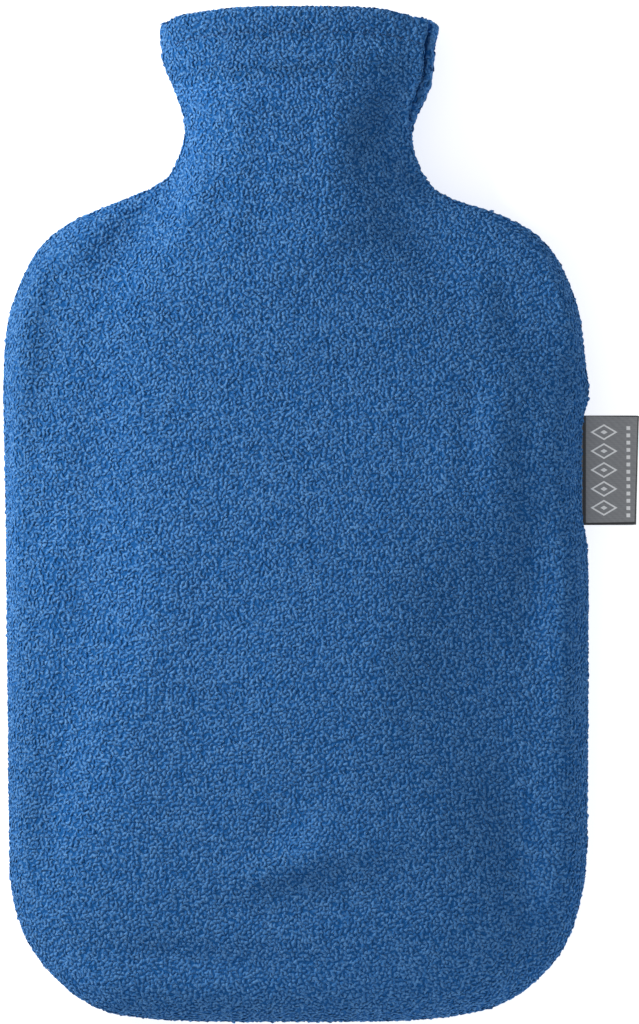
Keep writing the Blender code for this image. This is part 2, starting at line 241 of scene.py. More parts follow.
grain = {
    "detail": 2.5,
    "roughness": 0.55,
    "finer": 2.6,  # a second grain, this much finer
    "finerShare": 0.35,
    "top": 0.80,  # the grain's height at the pile's face
    "bottom": 0.50,  # and where the pile is deep, which the colour darkens as painted shade
}


def makeNapGroup():
    # curls of pile: a height, and how deep in the pile a point lies
    group, given, result = newGroup(
        "napGrain", {"Grain": "Float", "Curl": "Float"}, {"Height": "Float", "Depth": "Float"}
    )
    place = objectPlace(group)
    curls = addNode(group, "ShaderNodeTexNoise", {
        "Vector": place,
        "Scale": given.outputs["Grain"],
        "Detail": grain["detail"],
        "Roughness": grain["roughness"],
        "Distortion": given.outputs["Curl"],
    })
    fine = addNoise(group, place, addMath(group, "MULTIPLY", given.outputs["Grain"], grain["finer"]), 1.0)
    height = addMath(group, "MULTIPLY_ADD", fine, grain["finerShare"], curls.outputs["Fac"])
    depth = addNode(group, "ShaderNodeMapRange", {0: height, 1: grain["top"], 2: grain["bottom"]})
    group.links.new(height, result.inputs["Height"])
    group.links.new(depth.outputs[0], result.inputs["Depth"])
    return group


patches = {
    "wide": 34.0,  # scale of the large patches
    "near": 170.0,  # and of the small ones on them
    "nearShare": 0.15,
    "paintedShadingStrength": 0.15,  # how far a change of 1 in the painted light and shade attribute goes
}


def makePatchGroup():
    # slow, faint changes of tone at random, and painted light and shade from an attribute
    group, given, result = newGroup(
        "patchesAndPaintedShading", {"Colour": "Color", "Change": "Float"}, {"Colour": "Color"}
    )
    place = objectPlace(group)
    wide = addNoise(group, place, patches["wide"], 2.0)
    near = addNoise(group, place, patches["near"], 2.0)
    both = addMath(group, "MULTIPLY_ADD", near, patches["nearShare"], wide)
    mean = (1 + patches["nearShare"]) / 2
    swing = addMath(group, "MULTIPLY", addMath(group, "SUBTRACT", both, mean), given.outputs["Change"])
    swing = addMath(group, "MULTIPLY_ADD", readAttribute(group, "paintedShading"), patches["paintedShadingStrength"], swing)
    shade = addNode(group, "ShaderNodeHueSaturation", {
        "Color": given.outputs["Colour"],
        "Value": addMath(group, "ADD", swing, 1.0),
    })
    group.links.new(shade.outputs["Color"], result.inputs["Colour"])
    return group


pileLook = {
    "darkest": (0.001, 0.055, 0.225, 1),
    "middle": (0.022, 0.115, 0.320, 1),
    "middleAt": 0.45,
    "lightest": (0.092, 0.240, 0.490, 1),
    "grain": 850.0,
    "bump": 0.10,
    # where a point lies between the darkest and the lightest colour
    "start": 0.60,
    "byTone": 0.22,  # each curl's own tone
    "tipLightAndShade": 0.26,  # painted light on its top and painted shade at its base
    "hollowShade": -0.50,  # painted shade in the hollows of its grain
}
groundLook = {
    "darkest": (0.007, 0.070, 0.240, 1),
    "lightest": (0.014, 0.104, 0.312, 1),
    "grain": 1500.0,
    "bump": 0.9,
}
fleece = {
    "curl": 0.6,
    "patches": 0.05,
    "bumpHeight": 0.0004,
    "finish": {
        "Roughness": 0.92,
        "Specular IOR Level": 0.06,
        "Sheen Weight": 0.25,
        "Sheen Roughness": 0.35,
        "Sheen Tint": (0.25, 0.50, 0.95, 1),
    },
}


def fleeceMaterial(name, look, napGroup, patchGroup):
    made, tree, shader = newMaterial(name, fleece["finish"])
    inputs = {"Grain": look["grain"], "Curl": fleece["curl"]}
    curls = addNode(tree, "ShaderNodeGroup", inputs, node_tree=napGroup)
    if look is pileLook:
        # painted light on each curl's top, painted shade at its base and in its grain's hollows, with its
        # own random tone
        tipLightAndShade = addMath(tree, "MULTIPLY", readAttribute(tree, "tip"), look["tipLightAndShade"])
        raised = addMath(tree, "MULTIPLY_ADD", readAttribute(tree, "tone"), look["byTone"], tipLightAndShade)
        raised = addMath(tree, "ADD", raised, look["start"])
        raised = addMath(tree, "MULTIPLY_ADD", curls.outputs["Depth"], look["hollowShade"], raised)
    else:
        # painted shade: the ground's colour darkens in the hollows of its grain
        raised = addMath(tree, "SUBTRACT", 1.0, curls.outputs["Depth"])
    ramp = addNode(tree, "ShaderNodeValToRGB", {"Fac": raised})
    stops = ramp.color_ramp.elements
    stops[0].color = look["darkest"]
    stops[1].color = look["lightest"]
    if "middle" in look:
        stops.new(look["middleAt"]).color = look["middle"]
    inputs = {"Colour": ramp.outputs["Color"], "Change": fleece["patches"]}
    patched = addNode(tree, "ShaderNodeGroup", inputs, node_tree=patchGroup)
    bump = addNode(tree, "ShaderNodeBump", {
        "Height": curls.outputs["Height"],
        "Strength": look["bump"],
        "Distance": fleece["bumpHeight"],
    })
    tree.links.new(patched.outputs["Colour"], shader.inputs["Base Color"])
    tree.links.new(bump.outputs["Normal"], shader.inputs["Normal"])
    return made


mouth = {
    "rimMiddle": 0.1739,  # y of the rim at its middle
    "drop": 0.0055,  # and how far it falls to its corners
    "halfWidth": 0.0465,
    "centre": 0.0007,
    "power": 3.4,
    "hemLine": 0.0092,  # the hem's sewing, below the rim
}


def rimY(x):
    aside = abs((x - mouth["centre"]) / mouth["halfWidth"])
    return mouth["rimMiddle"] - mouth["drop"] * aside ** mouth["power"]


cloth = {
    "levels": 1,
    "finest": 6e-6,  # faces wider than this, in square metres, are split
    "splits": 2,  # this many times
    "sunk": 0.00022,  # the knitted ground lies this far under the pile's face
    "lumps": 0.00008,
    "lumpSize": 0.0055,
    "sewnDepth": 0.00062,
    "sewnWidth": 0.0011,
    "seamHeight": 0.0165,  # no crease below this height
    "creased": 0.0085,  # and its full depth from this much higher
}
lookingOut = {
    "skin": 0.0010,  # rays start this far off a face
    "reach": 0.4,
    "mouthFrom": 0.146,  # from this y up, a face may look at the cloth across the mouth
    "mouthGap": 0.008,  # if that is farther off than this
}


def clothFrom(node, name):
    # a rounded copy of a CAD solid, its wide faces split until they can carry the folds
    piece = copyNode(node, name)
    mergeTriangles(piece)
    bpy.ops.object.mode_set(mode="OBJECT")
    roundOff(piece, cloth["levels"])
    for _ in range(cloth["splits"]):
        bpy.ops.object.mode_set(mode="EDIT")
        bpy.ops.mesh.select_mode(type="FACE")
        bpy.ops.mesh.select_all(action="DESELECT")
        bpy.ops.object.mode_set(mode="OBJECT")
        for face in piece.data.polygons:
            face.select = face.area > cloth["finest"]
        bpy.ops.object.mode_set(mode="EDIT")
        bpy.ops.mesh.subdivide(number_cuts=1, smoothness=1, ngon=False)
        bpy.ops.mesh.vertices_smooth(factor=0.5, repeat=2)
        bpy.ops.object.mode_set(mode="OBJECT")
    bpy.ops.object.shade_smooth()
    return piece


def markShowing(piece, solids):
    # 1 on faces that look out of the cover or into its mouth, 0 inside it and in its seam
    mesh = piece.data
    values = np.zeros(len(mesh.polygons), np.float32)
    for n, face in enumerate(mesh.polygons):
        start = face.center + face.normal * lookingOut["skin"]
        far = solids.ray_cast(start, face.normal, lookingOut["reach"])[3]
        nearMouth = face.center.y > lookingOut["mouthFrom"]
        values[n] = 1.0 if far is None or (nearMouth and far > lookingOut["mouthGap"]) else 0.0
    mesh.attributes.new("showing", "FLOAT", "FACE").data.foreach_set("value", values)
    return values


# where the cover lies a little off its pattern's outline:
# x, y, reach along X, reach along Y, shift along X, shift along Y; in mm
easing = {
    "collarSeam": (42.2, 163, 3.2, 19, 1.90, 0.0),
    "rim": (-4, 175, 42, 16, 0.0, -1.20),
    "rimLeft": (-43, 170, 8, 8, 0.0, 0.60),
    "rimRight": (41, 172, 9, 8, 0.0, -0.60),
    "collarRight": (46, 152, 11, 27, 0.50, 0.0),
    "collarCorner": (48, 171, 8, 7, 0.60, 0.0),
    "neckLeft": (-38, 128, 9, 20, 0.45, 0.0),
    "leftShoulder": (-66, 103, 24, 13, 0.4, -0.70),
    "rightShoulder": (68, 103, 22, 13, -0.1, -0.45),
    "aboveLabel": (101, 41, 10, 7, 0.90, 0.0),
    "footLeft": (-80, -161, 19, 17, -0.60, -0.70),
    "footRight": (84, -160, 21, 19, 1.00, -0.90),
    "footLeftSide": (-97, -133, 8, 16, -0.70, 0.0),
    "footRightSide": (98, -128, 8, 20, 0.60, 0.0),
    "foot": (0, -175, 62, 9, 0.0, -0.50),
}
# painted light and painted shade on the front's pile, lighter or darker over its folds and sides:
# x, y, angle from +X, half length, half width, change; in mm and degrees
paintedShading = {
    "hem": (-2, 164.5, 0, 42, 2.2, -0.8),
    "bendUnderCollar": (-8, 151.5, 2, 38, 2.4, -1.6),
    "rollUnderCollar": (-8, 146.0, 3, 36, 3.6, 1.1),
    "neckFootLeft": (-42, 108.0, 64, 16, 4.0, 0.2),
    "leftShoulder": (-62, 97.0, 40, 16, 7.0, -0.6),
    "leftEdge": (-91, 58.0, 86, 46, 10.0, -1.6),
    "leftEdgeLower": (-93, -76.0, 90, 66, 7.0, -1.1),
    "neckRight": (39, 128.0, 84, 28, 8.0, 1.0),
    "neckLeft": (-33, 138.0, 84, 26, 8.0, 0.6),
    "footEdge": (0, -160.0, 0, 74, 8.0, 0.4),
    "chest": (16, 56.0, 4, 32, 12.0, -0.4),
    "leftBelly": (-44, -28.0, 80, 36, 22.0, 0.55),
    "leftFoot": (-56, -100.0, 84, 20, 14.0, 0.4),
    "rightBelly": (45, -38.0, 74, 36, 14.0, -0.6),
    "rightFoot": (58, -112.0, 78, 28, 12.0, -0.6),
    "footMiddle": (2, -134.0, 3, 20, 5.0, -0.4),
    "footFold": (6, -109.0, 60, 12, 6.0, 0.5),
    "rightShoulder": (88, 58.0, 98, 46, 7.0, 0.5),
    "footCorner": (85, -130.0, 110, 15, 6.0, 0.5),
}
# soft troughs and ridges of the front:
# x, y, angle from +X, half length, half width, height; in mm and degrees
creases = {
    "hemGroove": (-2, 162.2, 2, 44, 2.6, -0.85),
    "kneeTrough": (-22, 155.4, 5, 22, 3.0, -1.20),
    "kneeRidge": (-2, 149.2, 2, 34, 3.8, 2.60),
    "neckLeftSwell": (-14, 118.0, 96, 30, 15.0, 2.20),
    "neckRightHollow": (34, 118.0, 97, 34, 13.0, -1.80),
    "neckFoot": (-24, 96.0, 50, 26, 13.0, 2.60),
    "leftShoulderHollow": (-56, 95.0, 58, 21, 9.0, -3.90),
    "rightShoulderTrough": (45, 88.0, 118, 26, 11.0, -2.40),
    "rightShoulderSwell": (63, 76.0, 105, 13, 6.0, 1.50),
    "rightCornerSwell": (89, 86.0, 100, 12, 6.0, 1.40),
    "upperRightRidge": (68, 24.0, 93, 22, 6.0, 1.30),
    "upperRightRidgeFellow": (52, 20.0, 86, 16, 5.0, 0.70),
    "rightTroughUpper": (73, -26.0, 92, 32, 18.0, -4.40),
    "rightTroughLower": (76, -92.0, 94, 46, 22.0, -4.80),
    "rightFlankRidge": (92, -54.0, 91, 52, 6.5, 2.00),
    "leftFlankSwell": (-50, -38.0, 84, 34, 16.0, 1.80),
    "leftLowerSwell": (-58, -94.0, 95, 24, 12.0, 1.40),
    "leftWaistDimple": (-85, -2.0, 60, 12, 7.0, -1.30),
    "leftFootDimple": (-84, -103.0, 80, 14, 8.0, -1.60),
    "middleDimple": (-33, -25.0, 60, 4, 3.0, -0.45),
    "footSwell": (6, -112.0, 62, 11, 7.0, 1.40),
    "footSwellLeft": (-8, -122.5, 12, 13, 5.0, 1.90),
    "footSwellRight": (15, -116.0, 12, 22, 8.0, 2.30),
    "footDimple": (-8, -110.0, 52, 7, 5.0, -1.00),
    "footTrough": (-3, -134.0, 8, 40, 8.0, -1.10),
    "footEdgeTrough": (-36, -153.0, -5, 38, 7.0, -2.90),
    "leftEdgeSwell": (-94, 58.0, 84, 38, 6.0, 2.80),
    "leftShoulderSwell": (-77, 92.0, 40, 22, 7.0, 1.80),
    "leftTrough": (-70, 4.0, 86, 62, 10.0, -2.50),
    "rightShoulderFold": (70, 74.0, 121, 34, 13.0, -3.40),
    "rightShoulderEdge": (95, 72.0, 105, 30, 6.0, 3.20),
    "rightWaistTrough": (60, 38.0, 80, 13, 7.0, -1.30),
    "labelSwell": (90, 22.0, 92, 20, 9.0, 2.00),
    "rightFlankTrough": (82, -26.0, 88, 34, 9.0, -2.70),
    "rightFootTrough": (77, -126.0, 93, 34, 9.0, -2.90),
    "neckRightCorner": (42, 113.5, -40, 12, 4.0, -1.80),
    "neckFootSwell": (9, 96.0, 4, 14, 8.0, 3.40),
    "neckTrough": (-13, 114.0, 88, 20, 6.0, -1.80),
    "neckLeftFootSwell": (-35, 106.0, 62, 11, 6.0, 2.40),
    "neckMiddleSwell": (12, 124.0, 86, 18, 8.0, 1.90),
    "bellySwell": (0, -62.0, 84, 46, 22.0, 2.40),
    "leftLowerTrough": (-80, -72.0, 84, 38, 7.0, -1.60),
    "neckFootLower": (-8, 81.0, 6, 20, 10.0, 1.80),
    "neckRightEdge": (31, 137.0, 62, 14, 6.5, -1.60),
    "neckLeftEdge": (-41, 121.0, 84, 16, 4.0, -1.80),
    "rimSwell": (-4, 170.5, 0, 42, 2.5, 1.20),
    "leftInnerTrough": (-62, -38.0, 86, 34, 9.0, -1.30),
    "leftEdgeLower": (-97, -4.0, 90, 44, 5.0, 1.60),
    "footLeftEdge": (-94, -106.0, 88, 18, 5.0, 1.10),
    "footLeftCorner": (-79, -157.0, -46, 16, 5.0, -1.40),
    "bellyRightSwell": (26, -70.0, 84, 58, 13.0, 1.10),
    "bellyRidge": (34, -48.0, 10, 22, 9.0, 0.70),
}
mmPerMetre = 1000


def readPoints(mesh, what):
    values = np.empty(len(mesh.vertices) * 3, np.float32)
    mesh.vertices.foreach_get(what, values)
    return values.reshape(-1, 3)


def seenShare(mesh, showing):
    # how much of what meets at each point shows, from 0 to 1
    corners = np.empty(len(mesh.loops), np.int32)
    mesh.loops.foreach_get("vertex_index", corners)
    sides = np.empty(len(mesh.polygons), np.int32)
    mesh.polygons.foreach_get("loop_total", sides)
    faces = np.repeat(np.arange(len(sides)), sides)
    count = len(mesh.vertices)
    return np.bincount(corners, showing[faces], count) / np.bincount(corners, minlength=count)


def overFold(places, x, y, angle, length, width):
    # 1 at the middle of a fold, fading along it and aside
    turn = math.radians(angle)
    dx = places[:, 0] * mmPerMetre - x
    dy = places[:, 1] * mmPerMetre - y
    along = (dx * math.cos(turn) + dy * math.sin(turn)) / length
    aside = (dy * math.cos(turn) - dx * math.sin(turn)) / width
    return np.exp(-along**2 - aside**2)


def easeOutline(places):
    for x, y, reachX, reachY, shiftX, shiftY in easing.values():
        alongX = (places[:, 0] * mmPerMetre - x) / reachX
        alongY = (places[:, 1] * mmPerMetre - y) / reachY
        near = np.exp(-(alongX**4 + alongY**4))
        places[:, 0] += near * shiftX / mmPerMetre
        places[:, 1] += near * shiftY / mmPerMetre


def layCreases(places):
    # both faces of the sheet move alike, and nothing moves at the seam
    free = np.clip((places[:, 2] - cloth["seamHeight"]) / cloth["creased"], 0, 1)
    free = free * free * (3 - 2 * free)
    for *where, height in creases.values():
        places[:, 2] += free * height / mmPerMetre * overFold(places, *where)


def paintShading(mesh, places):
    # painted light and shade on the front's pile, as a point attribute that its colour reads
    change = np.zeros(len(places), np.float32)
    for *where, amount in paintedShading.values():
        change += amount * overFold(places, *where)
    mesh.attributes.new("paintedShading", "FLOAT", "POINT").data.foreach_set("value", change)


def addLumps(piece, seen):
    texture = bpy.data.textures.new("lumps", "CLOUDS")
    texture.noise_scale = cloth["lumpSize"]
    texture.noise_depth = 1
    group = piece.vertex_groups.new(name="seen")
    for n in np.flatnonzero(seen > 0):
        group.add([int(n)], float(seen[n]), "REPLACE")
    lumps = piece.modifiers.new("lumps", "DISPLACE")
    lumps.texture = texture
    lumps.texture_coords = "LOCAL"
    lumps.vertex_group = "seen"
    lumps.strength = cloth["lumps"]
    lumps.mid_level = 0.5
    applyAll(piece)
    piece.vertex_groups.clear()
    bpy.data.textures.remove(texture)


def shapeCloth(piece, showing):
    # the ground lies under its pile, a little deeper along the hem's sewing
    mesh = piece.data
    places = readPoints(mesh, "co")
    normals = readPoints(mesh, "normal")
    easeOutline(places)
    seen = seenShare(mesh, showing)
    fromHem = places[:, 1] - (rimY(places[:, 0]) - mouth["hemLine"])
    sewn = np.exp(-((fromHem / cloth["sewnWidth"]) ** 2)) * cloth["sewnDepth"]
    places -= normals * ((cloth["sunk"] + sewn) * seen)[:, None]
    if piece.name == "frontCloth":
        paintShading(mesh, places)
        layCreases(places)
    mesh.vertices.foreach_set("co", places.ravel())
    mesh.update()
    addLumps(piece, seen)


# the strip of the seam that comes round to the front beside the collar, with painted light where the
# front's edge shades it
collarStrip = {"fromX": 0.034, "fromY": 0.126, "facing": -0.2, "paintedShading": 2.4}


def inStrip(place):
    return place.x > collarStrip["fromX"] and place.y > collarStrip["fromY"]


def keepStrip(piece):
    # leaves as showing only the strip, and paints light on it
    values = piece.data.attributes["showing"].data
    for n, face in enumerate(piece.data.polygons):
        if not (inStrip(face.center) and face.normal.z > collarStrip["facing"]):
            values[n].value = 0.0
    paintedLight = piece.data.attributes.new("paintedShading", "FLOAT", "POINT")
    for value, point in zip(paintedLight.data, piece.data.vertices):
        if inStrip(point.co):
            value.value = collarStrip["paintedShading"]


nap = {
    "sides": 3,  # round each curl
    "rings": 4,  # and along it
    "sidesWidth": 1.74,  # how wide three sides are on a circle of radius 1
    "length": 0.0022,
    "width": 0.00155,
    "height": 0.00047,
    "bend": 0.48,  # how far a curl bows sideways, in widths
    "bendMiddle": 0.35,  # keeps the bow centred
    "dip": 0.40,  # how far its ends dip, in heights
    "raised": 0.30,  # how far its middle stands off the ground, in heights
    "swirl": 0.0012,  # size of the patches in which the curls lie one way
    "turns": 3,  # how far the way they lie goes round, in whole turns
    "stray": 1.6,  # how far each turns from it, in radians
    "tilt": 0.20,
    "roll": 0.40,
    "smallest": 0.8,
    "largest": 1.2,
    "tries": 2e7,  # places tried per square metre before the close ones are dropped
    "lowest": 0.00002,  # where the cover rests, the pile is pressed flat against the floor
}


def makeTuft():
    # one curl of pile lying along X: a spindle bowed sideways, its ends dipping into the cloth
    quarter = math.pi / 2
    bpy.ops.mesh.primitive_uv_sphere_add(
        segments=nap["sides"], ring_count=nap["rings"], radius=1, rotation=(quarter, 0, quarter)
    )
    tuft = bpy.context.object
    tuft.name = "tuft"
    bpy.ops.object.transform_apply(location=False, rotation=True, scale=False)
    for point in tuft.data.vertices:
        end = point.co.x ** 2
        bow = nap["bend"] * (end - nap["bendMiddle"])
        point.co.y = nap["width"] * (point.co.y / nap["sidesWidth"] + bow)
        point.co.z = nap["height"] * (point.co.z / 2 - nap["dip"] * end)
        point.co.x *= nap["length"] / 2
    tip = tuft.data.attributes.new("tip", "FLOAT", "POINT")
    heights = [point.co.z for point in tuft.data.vertices]
    for value, height, point in zip(tip.data, heights, tuft.data.vertices):
        value.value = (height - min(heights)) / (max(heights) - min(heights))
        point.co.z += nap["height"] * nap["raised"]
    bpy.ops.object.shade_smooth()
    tuft.hide_render = True
    return tuft


def drawNumber(tree, seed, low, high):
    node = addNode(tree, "FunctionNodeRandomValue", {2: low, 3: high, "Seed": seed}, data_type="FLOAT")
    return node.outputs[1]


def turnBy(tree, rotation, angles):
    euler = addNode(tree, "ShaderNodeCombineXYZ", angles).outputs[0]
    step = addNode(tree, "FunctionNodeEulerToRotation", {0: euler}).outputs[0]
    inputs = {"Rotation": rotation, "Rotate By": step}
    return addNode(tree, "FunctionNodeRotateRotation", inputs, rotation_space="LOCAL").outputs[0]


def addPile(name, ground, tuft, seed, plan):
    # tufts scattered evenly over what shows of the cloth, each lying nearly as its neighbours do
    piece = newPiece(name, ground.data.copy())
    tree = bpy.data.node_groups.new(name, "GeometryNodeTree")
    tree.interface.new_socket("Geometry", in_out="INPUT", socket_type="NodeSocketGeometry")
    tree.interface.new_socket("Geometry", in_out="OUTPUT", socket_type="NodeSocketGeometry")
    given = tree.nodes.new("NodeGroupInput")
    result = tree.nodes.new("NodeGroupOutput")
    showing = addNode(tree, "GeometryNodeInputNamedAttribute", {"Name": "showing"}, data_type="FLOAT")
    points = addNode(tree, "GeometryNodeDistributePointsOnFaces", {
        "Mesh": given.outputs[0],
        "Distance Min": plan["spacing"],
        "Density Max": nap["tries"],
        "Density Factor": showing.outputs["Attribute"],
        "Seed": seed,
    }, distribute_method="POISSON")

    place = tree.nodes.new("GeometryNodeInputPosition").outputs[0]
    swirl = addNoise(tree, place, 1 / nap["swirl"] / 2, 1.0)
    stray = drawNumber(tree, seed + 1, -nap["stray"], nap["stray"])
    turn = addMath(tree, "MULTIPLY_ADD", swirl, 2 * math.pi * nap["turns"], stray)
    tilt = drawNumber(tree, seed + 2, -nap["tilt"], nap["tilt"])
    roll = drawNumber(tree, seed + 3, -nap["roll"], nap["roll"])
    lie = turnBy(tree, points.outputs["Rotation"], {"Z": turn})
    lie = turnBy(tree, lie, {"X": roll, "Y": tilt})
    size = drawNumber(tree, seed + 4, nap["smallest"] * plan["scale"], nap["largest"] * plan["scale"])

    # a pile too heavy for one piece is shared out, every second or third tuft to each
    number = tree.nodes.new("GeometryNodeInputIndex").outputs[0]
    turnOf = addMath(tree, "MODULO", number, float(plan["shares"]))
    chosen = addNode(tree, "FunctionNodeCompare", {0: turnOf, 1: float(plan["share"])},
                     data_type="FLOAT", operation="EQUAL")
    tufts = addNode(tree, "GeometryNodeInstanceOnPoints", {
        "Points": points.outputs["Points"],
        "Selection": chosen.outputs[0],
        "Instance": addNode(tree, "GeometryNodeObjectInfo", {"Object": tuft}).outputs["Geometry"],
        "Rotation": lie,
        "Scale": size,
    })
    toned = addNode(tree, "GeometryNodeStoreNamedAttribute", {
        "Geometry": tufts.outputs[0],
        "Name": "tone",
        "Value": drawNumber(tree, seed + 5, 0.0, 1.0),
    }, data_type="FLOAT", domain="INSTANCE")
    real = addNode(tree, "GeometryNodeRealizeInstances", {"Geometry": toned.outputs[0]})

    spot = addNode(tree, "ShaderNodeSeparateXYZ", {"Vector": place}).outputs
    pressed = addMath(tree, "MAXIMUM", spot["Z"], nap["lowest"])
    moved = addNode(tree, "ShaderNodeCombineXYZ", {"X": spot["X"], "Y": spot["Y"], "Z": pressed})
    inputs = {"Geometry": real.outputs[0], "Position": moved.outputs[0]}
    settled = addNode(tree, "GeometryNodeSetPosition", inputs)
    tree.links.new(settled.outputs[0], result.inputs[0])
    piece.modifiers.new("pile", "NODES").node_group = tree
    applyAll(piece)
    for extra in ("showing", "sharp_face"):
        if extra in piece.data.attributes:
            piece.data.attributes.remove(piece.data.attributes[extra])
    piece.data.materials.clear()
    return piece


tape = {
    "thinner": 0.00022,  # taken off each face of the solid
    "longer": 0.0007,  # and added past its fold
    "root": 0.1010,  # x at the seam
    "sharp": math.radians(50),
    "levels": 2,
    "finish": {"Roughness": 0.62, "Sheen Weight": 0.08},
    "grey": (0.292, 0.296, 0.308, 1),
    "white": (0.97, 0.97, 0.975, 1),
    "dark": (0.012, 0.012, 0.013, 1),
    "bump": 0.5,
    "bumpHeight": 0.00008,
    # satin: close warp threads along the tape, crossed by a finer weft, with slubs in the yarn
    "warp": 420.0,
    "weft": 300.0,
    "slub": 900.0,
    "plainShade": 0.79,
    "weaveShade": 0.16,
    "slubShade": 0.22,
    # ornament: a chain of small diamonds, each a ring round a heart
    "chainX": 0.1057,
    "chainHalf": 0.0048,
    "chainStart": -0.0018,
    "chainStep": 0.0065,
    "chainCount": 5,
    "diamondSlope": 2.3,
    "ring": 0.86,
    "ringHalf": 0.115,
    "heart": 0.26,
    # and a broken line beside it
    "dashX": 0.1141,
    "dashHalf": 0.00065,
    "dashStep": 0.0025,
    "dashShare": 0.52,
    "figureCover": 0.95,
    "figureRaised": 0.6,
    # its cut ends are darker, and painted shade darkens its fold and its root in the seam: a point, a
    # direction and a width
    "edges": (
        ((0.110, 0.03315), (1.0, -0.018), 0.00035),
        ((0.110, -0.00390), (1.0, 0.020), 0.00040),
        ((0.1171, 0.0146), (-0.028, -1.0), 0.00034),
        ((0.0989, 0.0146), (0.0, -1.0), 0.00060),
    ),
    "edgeAndShadeCover": 0.88,
    "edgeSoft": 0.25,
}


def makeLabel():
    # grey woven tape, folded once, with both ends caught in the seam
    piece = copyNode("label", "sideLabel")
    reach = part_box("label")[1][0] - tape["root"]
    for point in piece.data.vertices:
        point.co.x += tape["longer"] * max(0.0, point.co.x - tape["root"]) / reach
    mergeTriangles(piece)
    bpy.ops.mesh.select_all(action="DESELECT")
    bpy.ops.mesh.select_mode(type="EDGE")
    bpy.ops.mesh.edges_select_sharp(sharpness=tape["sharp"])
    bpy.ops.transform.edge_crease(value=1)
    bpy.ops.mesh.select_all(action="SELECT")
    bpy.ops.transform.shrink_fatten(value=-tape["thinner"])
    bpy.ops.object.mode_set(mode="OBJECT")
    roundOff(piece, tape["levels"])
    bpy.ops.object.shade_smooth_by_angle(angle=tape["sharp"])
    return piece


def lineMask(tree, place, through, direction, width):
    # 1 within this distance of a straight line on the label, else 0
    normal = Vector((-direction[1], direction[0], 0)).normalized()
    reach = normal.x * through[0] + normal.y * through[1]
    dot = addNode(tree, "ShaderNodeVectorMath", {0: place, 1: normal}, operation="DOT_PRODUCT")
    off = addMath(tree, "ABSOLUTE", addMath(tree, "SUBTRACT", dot.outputs["Value"], reach))
    outer = width * (1 + tape["edgeSoft"])
    inner = width * (1 - tape["edgeSoft"])
    return addNode(tree, "ShaderNodeMapRange", {0: off, 1: outer, 2: inner}).outputs[0]


def ornamentMask(tree, place):
    # 1 on the chain of diamonds and on the broken line, else 0
    spot = addNode(tree, "ShaderNodeSeparateXYZ", {"Vector": place}).outputs
    alongTape = addMath(tree, "SUBTRACT", spot["Y"], tape["chainStart"])
    half = tape["chainStep"] * tape["chainCount"] / 2
    inside = addMath(tree, "COMPARE", alongTape, half, half)

    step = addMath(tree, "FRACT", addMath(tree, "DIVIDE", alongTape, tape["chainStep"]))
    lengthways = addMath(tree, "ABSOLUTE", addMath(tree, "SUBTRACT", step, 0.5))
    lengthways = addMath(tree, "MULTIPLY", lengthways, tape["diamondSlope"])
    across = addMath(tree, "ABSOLUTE", addMath(tree, "SUBTRACT", spot["X"], tape["chainX"]))
    across = addMath(tree, "DIVIDE", across, tape["chainHalf"])
    reach = addMath(tree, "ADD", lengthways, across)
    ring = addMath(tree, "ABSOLUTE", addMath(tree, "SUBTRACT", reach, tape["ring"]))
    ring = addMath(tree, "LESS_THAN", ring, tape["ringHalf"])
    heart = addMath(tree, "LESS_THAN", reach, tape["heart"])
    chain = addMath(tree, "MULTIPLY", addMath(tree, "MAXIMUM", ring, heart), inside)

    dash = addMath(tree, "FRACT", addMath(tree, "DIVIDE", alongTape, tape["dashStep"]))
    dash = addMath(tree, "MULTIPLY", addMath(tree, "LESS_THAN", dash, tape["dashShare"]), inside)
    onLine = addMath(tree, "COMPARE", spot["X"], tape["dashX"], tape["dashHalf"])
    return addMath(tree, "MAXIMUM", chain, addMath(tree, "MULTIPLY", onLine, dash))


def coverWith(tree, mask, share, under, over):
    inputs = {0: addMath(tree, "MULTIPLY", mask, share), 6: under, 7: over}
    return addNode(tree, "ShaderNodeMix", inputs, data_type="RGBA").outputs[2]


def labelMaterial():
    made, tree, shader = newMaterial("wovenTape", tape["finish"])
    place = objectPlace(tree)
    warp = addWave(tree, place, tape["warp"], "Y", Distortion=0.6, Detail=1.0)
    weft = addWave(tree, place, tape["weft"], "DIAGONAL", Distortion=0.4, Detail=1.0)
    weave = addMath(tree, "MULTIPLY_ADD", weft, 0.5, addMath(tree, "MULTIPLY", warp, 0.5))
    shade = addMath(tree, "MULTIPLY_ADD", weave, tape["weaveShade"], tape["plainShade"])
    slub = addNoise(tree, place, tape["slub"], 2.0)
    shade = addMath(tree, "MULTIPLY_ADD", slub, tape["slubShade"], shade)
    ground = addNode(tree, "ShaderNodeHueSaturation", {"Color": tape["grey"], "Value": shade})
    figure = ornamentMask(tree, place)
    figured = coverWith(tree, figure, tape["figureCover"], ground.outputs["Color"], tape["white"])
    # the cut ends are darker, and painted shade lies along the fold and the root
    edge = 0.0
    for through, direction, width in tape["edges"]:
        edge = addMath(tree, "MAXIMUM", edge, lineMask(tree, place, through, direction, width))
    colour = coverWith(tree, edge, tape["edgeAndShadeCover"], figured, tape["dark"])
    bump = addNode(tree, "ShaderNodeBump", {
        "Height": addMath(tree, "MULTIPLY_ADD", figure, tape["figureRaised"], weave),
        "Strength": tape["bump"],
        "Distance": tape["bumpHeight"],
    })
    tree.links.new(colour, shader.inputs["Base Color"])
    tree.links.new(bump.outputs["Normal"], shader.inputs["Normal"])
    return made


sewing = {
    "count": 29,
    "reach": 0.0445,
    "length": 0.0025,
    "thread": 0.00042,
    "proud": 0.00012,
    "above": 0.1,  # the stitches are dropped onto the cloth from here
    "colour": (0.012, 0.070, 0.215, 1),
    "ply": 900.0,
    "plyShade": 0.5,
    "plainShade": 0.7,
    "bump": 0.6,
    "bumpHeight": 0.0001,
    "finish": {"Roughness": 0.55},
}


